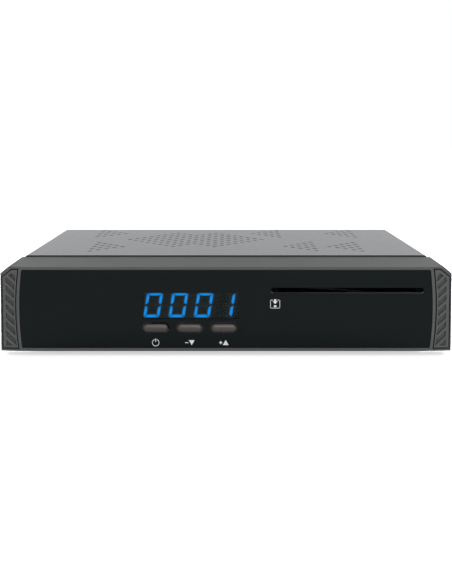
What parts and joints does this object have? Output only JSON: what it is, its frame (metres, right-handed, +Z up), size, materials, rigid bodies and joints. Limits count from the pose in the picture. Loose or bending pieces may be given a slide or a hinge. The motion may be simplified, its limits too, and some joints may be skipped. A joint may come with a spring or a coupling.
{
  "type": "satellite tv receiver",
  "caption": "Compact set-top box with a wide dark display window, three keys, a smart card slot, a perforated steel cover and rear sockets.",
  "frame": {"origin": "on the surface it stands on, under the middle of the whole receiver with its rear connectors", "axes": "+X to the right of someone who faces the front, +Y from the front to the rear, +Z up"},
  "size_m": [0.18, 0.1306, 0.0393],
  "materials": {
    "panel_abs": "fine moulded texture",
    "window_acrylic": "polished, smoke tinted",
    "key_plastic": "satin lacquer",
    "cover_paint": "satin powder coat",
    "tray_steel": "zinc coated sheet",
    "foot_rubber": "matt",
    "board_laminate": "green solder mask",
    "black_plastic": "moulded",
    "plunger_plastic": "moulded",
    "lit_blue": "glowing blue",
    "dark_bar": "unlit",
    "white_plastic": "moulded",
    "screw_steel": "nickel plated",
    "tinned_sheet": "tinned",
    "nickel": "nickel plated brass",
    "gold_contact": "gold flash",
    "chip_epoxy": "moulded epoxy",
    "sink_aluminium": "as extruded",
    "ferrite": "sintered"
  },
  "bodies": {
    "case": {"front_bezel": "panel_abs", "left_cheek": "panel_abs", "right_cheek": "panel_abs", "front_window": "window_acrylic", "top_cover": "cover_paint", "base_tray": "tray_steel", "front_left_foot": "foot_rubber", "front_right_foot": "foot_rubber", "rear_left_foot": "foot_rubber", "rear_right_foot": "foot_rubber", "display_board": "board_laminate", "main_board": "board_laminate", "card_reader_board": "board_laminate", "display_module": "black_plastic", "remote_eye": "black_plastic", "key_switches": "black_plastic", "key_guide": "black_plastic", "card_reader_body": "black_plastic", "stacking_header": "black_plastic", "link_header": "black_plastic", "power_inlet": "black_plastic", "usb_core": "black_plastic", "hdmi_core": "black_plastic", "scart_core": "black_plastic", "phono_socket": "black_plastic", "lit_segments": "lit_blue", "dark_segments": "dark_bar", "connector_cores": "white_plastic", "phono_core": "white_plastic", "display_board_screws": "screw_steel", "card_reader_screws": "screw_steel", "cover_screws": "screw_steel", "board_screws": "screw_steel", "tuner_can": "tinned_sheet", "usb_shell": "tinned_sheet", "hdmi_shell": "tinned_sheet", "scart_shell": "tinned_sheet", "clock_crystal": "tinned_sheet", "capacitors": "tinned_sheet", "loop_connector": "nickel", "lnb_connector": "nickel", "connector_nuts": "nickel", "connector_washers": "nickel", "phono_ring": "nickel", "power_inlet_pin": "nickel", "card_reader_posts": "nickel", "board_standoffs": "nickel", "card_contacts": "gold_contact", "link_pins": "gold_contact", "processor": "chip_epoxy", "memory_chips": "chip_epoxy", "heatsink": "sink_aluminium", "power_coils": "ferrite"},
    "power_key": {"power_button": "key_plastic", "power_plunger": "plunger_plastic"},
    "channel_down_key": {"channel_down_button": "key_plastic", "channel_down_plunger": "plunger_plastic"},
    "channel_up_key": {"channel_up_button": "key_plastic", "channel_up_plunger": "plunger_plastic"}
  },
  "joints": [
    {"name": "power_press", "type": "slide", "parent": "case", "child": "power_key", "axis": [0, 1, 0], "range_m": [0, 0.0004], "stiffness_N_per_m": 4000},
    {"name": "channel_down_press", "type": "slide", "parent": "case", "child": "channel_down_key", "axis": [0, 1, 0], "range_m": [0, 0.0004], "stiffness_N_per_m": 4000},
    {"name": "channel_up_press", "type": "slide", "parent": "case", "child": "channel_up_key", "axis": [0, 1, 0], "range_m": [0, 0.0004], "stiffness_N_per_m": 4000}
  ]
}
